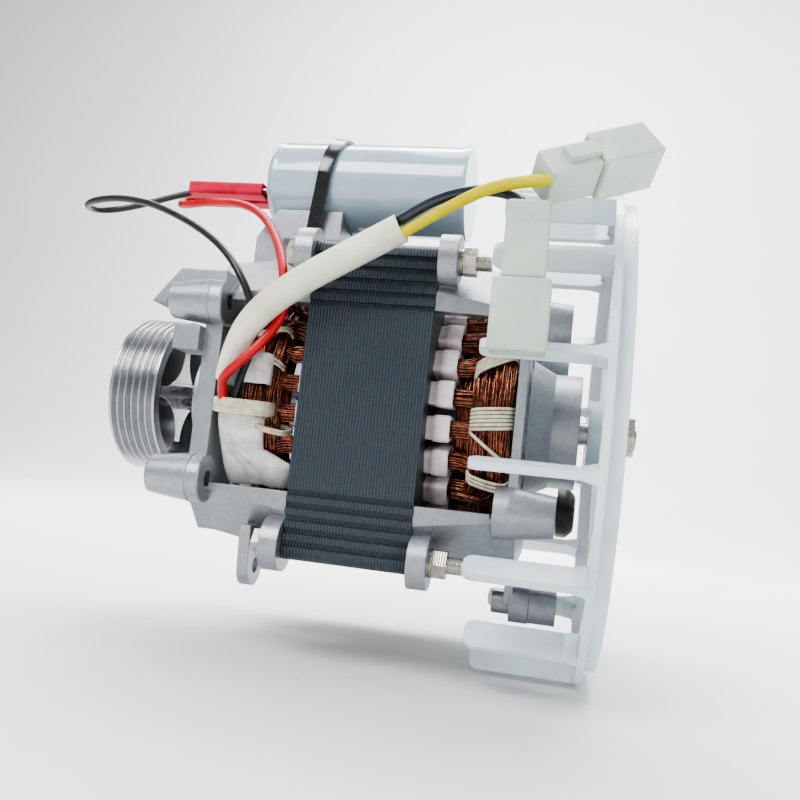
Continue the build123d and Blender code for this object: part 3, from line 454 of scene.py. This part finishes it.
main_strands = []
for pole in range(POLES):
    slot = 1 + SLOTS_PER_POLE * pole
    for side, small_end, large_end in MAIN_ENDS:
        for across, outward in packed(*MAIN_BUNDLE):
            main_strands.append(hairpin(
                side, small_end, radius=38.6, first=slot + 1, last=slot + 4, bend=5.6,
                across=across, outward=outward,
            ))
            main_strands.append(hairpin(
                side, large_end, radius=38.0, first=slot, last=slot + 5, bend=6.0,
                across=across, outward=outward,
            ))
main_bundles = strand_object(
    "main_winding_strands", main_strands, WIRE, copper
)
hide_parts("main_winding")

# The start winding has a full layer, part of a layer under it, and a ring nearer the shaft
start_strands = []
for pole in range(POLES):
    slot = 4 + SLOTS_PER_POLE * pole
    for side, end in START_ENDS:
        for across, outward in packed(*START_BUNDLE):
            start_strands.append(hairpin(
                side, end, radius=37.4, first=slot, last=slot + 5, bend=6.4,
                across=across, outward=outward, lift=4.0,
            ))
            if across < UNDERLAYER_LIMIT:
                start_strands.append(hairpin(
                    side, end - UNDERLAYER_DEPTH, radius=37.0, first=slot, last=slot + 5,
                    bend=5.0, across=across, outward=outward, lift=3.2,
                ))
    for side in (1, -1):
        for across, outward in packed(*RING_BUNDLE):
            start_strands.append(hairpin(
                side, RING_END, radius=34.4, first=slot - 0.4, last=slot + 5.4, bend=4.6,
                across=across, outward=outward,
            ))
start_bundles = strand_object(
    "start_winding_strands", start_strands, WIRE, copper
)
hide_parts("start_winding")


# Slot liners: folded film in every slot, with a rounded cuff at each end
LINER_INNER, LINER_OUTER = 31.2, 43.1
LINER_HALF_INNER, LINER_HALF_OUTER, LINER_CORNER = 2.3, 3.7, 1.1
CORNER_STEPS = 5
CUFF_START = 20.3
RIPPLE, RIPPLE_BY_SLOT, RIPPLE_BY_POINT = 0.10, 3.1, 1.9
# Places along the shaft from the stack's middle, each with the film's growth beyond the slot
LINER_PROFILE = [
    (-22.6, -0.75), (-23.0, -0.35), (-22.8, 0.35), (-20.4, 0.40), (-20.2, -0.05),
    (20.2, -0.05), (20.4, 0.10), (22.1, 0.12), (22.3, 0.50), (24.2, 0.62), (27.0, 0.55),
    (27.5, 0.15), (27.4, -0.55), (26.0, -0.75),
]


def liner_loop(grow):
    """Rounded outline of a slot liner: (across, radius) places round the slot's cell."""
    corner = LINER_CORNER + max(grow, 0.0)
    ends = (
        (LINER_HALF_OUTER + grow, LINER_OUTER + grow - corner, 0),
        (LINER_HALF_INNER + grow, LINER_INNER - grow + corner, 2),
    )
    places = []
    for half, middle, start in ends:
        for quarter in (start, start + 1):
            sign = 1 if quarter in (0, 3) else -1
            for i in range(CORNER_STEPS):
                turn = math.radians(90 * (quarter + i / (CORNER_STEPS - 1)))
                places.append((
                    sign * (half - corner) + corner * math.cos(turn),
                    middle + corner * math.sin(turn),
                ))
    return places


def liner_mesh():
    """All liners in one mesh, with a ripple in their cuffs."""
    loops = [(x, liner_loop(grow)) for x, grow in LINER_PROFILE]
    size = len(loops[0][1])
    vertices, faces = [], []
    for number in range(1, SLOT_COUNT + 1):
        turn = math.radians(slot_degrees(number))
        out, side = (math.cos(turn), math.sin(turn)), (-math.sin(turn), math.cos(turn))
        base = len(vertices)
        for x, loop in loops:
            height = RIPPLE if abs(x) > CUFF_START else 0.0
            for i, (across, radius) in enumerate(loop):
                ripple = height * math.sin(RIPPLE_BY_SLOT * number + RIPPLE_BY_POINT * i)
                y = out[0] * (radius + ripple) + side[0] * across
                z = out[1] * (radius + ripple) + side[1] * across
                vertices.append(((STACK_MIDDLE + x + ripple) * MM, y * MM, z * MM))
        for row in range(len(loops) - 1):
            for i in range(size):
                here = base + row * size + i
                beside = base + row * size + (i + 1) % size
                faces.append((here, beside, beside + size, here + size))
    data = bpy.data.meshes.new("liner_cuffs")
    data.from_pydata(vertices, [], faces)
    data.shade_smooth()
    data.materials.append(film)
    return link(bpy.data.objects.new("liner_cuffs", data))


liners = liner_mesh()
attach(liners, "root")
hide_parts("slot_liners")


# Lacing: turns of cord pulled tight round the end bundles
LACING_DIAMETER, TURN_STEPS = 1.1, 12
SQUARENESS, WOBBLE, WOBBLE_PACE, USUAL_SPREAD = 0.62, 0.25, 2.7, 1.25
# Low and high end along the shaft from the stack's middle, then inner and outer radius
FAN_SIDE_SECTION = (33.4, 46.6, 35.6, 45.2)
PULLEY_SIDE_SECTION = (29.6, 42.8, 35.6, 45.2)
# Angle about the shaft, number of turns and lean of each tie
SHARED_TIES = ((12, 4, 0.8), (38, 3, -1.5), (66, 5, 0.6), (96, 3, 2.2), (126, 4, -0.8))
LATER_TIES = ((236, 4, 0.8), (262, 4, -1.0), (290, 5, 0.8), (318, 3, 2.0), (342, 4, 0.8))
FAN_SIDE_TIES = ((157, 4, -3.4), (182, 6, -0.5), (194, 1, 5.0), (209, 3, 1.6))
PULLEY_SIDE_TIES = ((152, 2, 3.0), (164, 2, -2.0))
# The ties round the leads and the cloth, with their own sections and spreads
WRAP_TIES = (
    (186.0, (30.4, 49.8, 36.0, 50.8), 6, -0.1, 0.8),
    (187.6, (33.0, 49.4, 36.0, 50.2), 2, -1.6, 0.9),
    (194.5, (25.0, 37.0, 36.0, 46.4), 2, -1.0, 0.9),
)


def rounded_square(value):
    """Pushes a sine or cosine outwards, so that a circle becomes a rounded square."""
    return math.copysign(abs(value) ** SQUARENESS, value)


def lacing_loop(side, angle, section, turns, lean, spread=USUAL_SPREAD):
    """Points of a helix round the bundles' section at an angle about the shaft."""
    low, high, inner, outer = section
    points = []
    for i in range(turns * TURN_STEPS + 1):
        share = i / TURN_STEPS
        turn = 2 * math.pi * share
        wide, tall = rounded_square(math.cos(turn)), rounded_square(math.sin(turn))
        x = (low + high) / 2 + (high - low) / 2 * wide
        wobble = WOBBLE * math.sin(WOBBLE_PACE * i)
        radius = (inner + outer) / 2 + (outer - inner + wobble) / 2 * tall
        run = math.radians(angle) + (spread * (share - turns / 2) + lean * wide) / outer
        points.append((STACK_MIDDLE + side * x, radius * math.cos(run), radius * math.sin(run)))
    return points


laces = []
for angle, turns, lean in SHARED_TIES + FAN_SIDE_TIES + LATER_TIES:
    laces.append(lacing_loop(1, angle, FAN_SIDE_SECTION, turns, lean))
for angle, turns, lean in SHARED_TIES + PULLEY_SIDE_TIES + LATER_TIES:
    laces.append(lacing_loop(-1, angle, PULLEY_SIDE_SECTION, turns, lean))
for angle, section, turns, lean, spread in WRAP_TIES:
    laces.append(lacing_loop(-1, angle, section, turns, lean, spread))
strand_object("winding_lacing", laces, LACING_DIAMETER, lacing_finish, 1)


# Threads: a fine ridge round the free end of each through bolt
BOLT_PLACE, BOLT_RADIUS, THREAD_PITCH = 46.5, 2.5, 0.8
RIDGE_DIAMETER, RIDGE_STEPS = 0.46, 12
nut_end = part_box("through_bolt_nuts")[1][0] / MM
bolt_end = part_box("through_bolts")[1][0] / MM
ridge_points = int(RIDGE_STEPS * (bolt_end - nut_end - THREAD_PITCH) / THREAD_PITCH)
threads = []
for y in (-BOLT_PLACE, BOLT_PLACE):
    for z in (-BOLT_PLACE, BOLT_PLACE):
        ridge = []
        for i in range(ridge_points):
            turn = math.radians(360 / RIDGE_STEPS * i)
            x = nut_end + THREAD_PITCH / 2 + THREAD_PITCH * i / RIDGE_STEPS
            ridge.append((x, y + BOLT_RADIUS * math.cos(turn), z + BOLT_RADIUS * math.sin(turn)))
        threads.append(ridge)
strand_object("bolt_threads", threads, RIDGE_DIAMETER, zinc, 1)


# Wraps: white cloth folded round the joints on the end bundle at the pulley's side
CLOTH_THICKNESS = 0.6
WIDENING_START, WIDENING_SHARE = 0.5, 0.2
SKEW, EDGE_SLOPE, EDGE_FALL = 2.2, 8.0, 1.6


def wrap_mesh(name, first, last, near, far, wider, radius, rows, columns):
    """A creased cloth from angle first to last and x near to far, wider in its lower part."""
    vertices, faces = [], []
    for i in range(rows + 1):
        for j in range(columns + 1):
            u, v = i / rows, j / columns
            angle = math.radians(first + (last - first) * u)
            limit = far + wider * min(1.0, max(0.0, (u - WIDENING_START) / WIDENING_SHARE))
            x = near + SKEW * u * (1 - v) + (limit - near) * v
            # Each fold's height times its waves over u, round the bundle, and v, along the shaft
            broad_fold = 0.38 * math.sin(3.0 * v * math.pi + 2.0 * u + 2.0 * math.sin(4.0 * u))
            sharp_fold = 0.30 * abs(math.sin(7.0 * u + 4.0 * v + 1.5 * math.sin(5.0 * v)))
            fine_fold = 0.10 * math.sin(31.0 * v - 13.0 * u)
            fall = EDGE_FALL * max(0.0, 1.0 - EDGE_SLOPE * min(v, 1 - v)) ** 2
            out = radius + broad_fold + sharp_fold + fine_fold - fall
            vertices.append((x * MM, out * MM * math.cos(angle), out * MM * math.sin(angle)))
    for i in range(rows):
        for j in range(columns):
            corner = i * (columns + 1) + j
            faces.append((corner, corner + 1, corner + columns + 2, corner + columns + 1))
    data = bpy.data.meshes.new(name)
    data.from_pydata(vertices, [], faces)
    data.shade_smooth()
    data.materials.append(cloth)
    piece = link(bpy.data.objects.new(name, data))
    thickness = piece.modifiers.new("thickness", "SOLIDIFY")
    thickness.thickness = CLOTH_THICKNESS * MM
    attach(piece, "root")
    return piece


wrap = wrap_mesh("wrap_cloth", 188.0, 220.0, 0.6, 15.6, 9.6, 45.3, 40, 44)
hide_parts("insulation_wrap")
patch = wrap_mesh("joint_cloth", 163.0, 176.0, 6.4, 16.6, 0.0, 45.6, 16, 16)


# Floor that sweeps up behind the object, and soft lights, all in metres and watts
FLOOR_Z, FLOOR_HALF_WIDTH = -0.0836, 14.0
FLOOR_PROFILE = [
    (-14.0, 0.0), (0.9, 0.0), (1.15, 0.03), (1.38, 0.12), (1.56, 0.30), (1.65, 0.55), (1.68, 4.0),
]
# Name, place, the point it faces, side length and power of each lamp
LIGHTS = (
    ("key", (-0.35, -0.75, 0.75), (0.04, 0.0, 0.0), 0.5, 11.0),
    ("fill", (0.85, -0.55, 0.25), (0.05, 0.0, 0.0), 0.6, 3.0),
    ("top", (0.05, 0.15, 0.95), (0.05, 0.0, 0.0), 0.6, 6.0),
    ("low", (0.0, -0.7, -0.03), (0.05, 0.0, 0.0), 0.3, 0.25),
    ("backdrop", (0.05, 0.55, 0.95), (0.05, 1.5, 0.0), 1.2, 42.0),
)
WORLD_COLOUR, WORLD_STRENGTH = (0.95, 0.97, 1.0, 1.0), 0.55

floor_data = bpy.data.meshes.new("floor")
floor_points = [
    (x, y, z + FLOOR_Z) for y, z in FLOOR_PROFILE for x in (-FLOOR_HALF_WIDTH, FLOOR_HALF_WIDTH)
]
floor_faces = [
    (2 * i, 2 * i + 1, 2 * i + 3, 2 * i + 2) for i in range(len(FLOOR_PROFILE) - 1)
]
floor_data.from_pydata(floor_points, [], floor_faces)
floor_data.shade_smooth()
floor_data.materials.append(
    surface("floor_paper", (0.80, 0.80, 0.80), (0.84, 0.84, 0.84), 2.0, (0.7, 0.8), 0.02)
)
floor = link(bpy.data.objects.new("floor", floor_data))

for name, place, target, size, power in LIGHTS:
    lamp_data = bpy.data.lights.new(name, "AREA")
    lamp_data.shape = "RECTANGLE"
    lamp_data.size = size
    lamp_data.size_y = size
    lamp_data.energy = power
    lamp = link(bpy.data.objects.new(name, lamp_data))
    lamp.location = place
    lamp.visible_camera = False
    aim = Vector(target) - Vector(place)
    lamp.rotation_euler = aim.to_track_quat("-Z", "Y").to_euler()
world = bpy.data.worlds.new("world")
world.use_nodes = True
set_sockets(
    world.node_tree.nodes["Background"], {"Color": WORLD_COLOUR, "Strength": WORLD_STRENGTH}
)
bpy.context.scene.world = world
bpy.context.scene.view_settings.look = "AgX - Medium High Contrast"
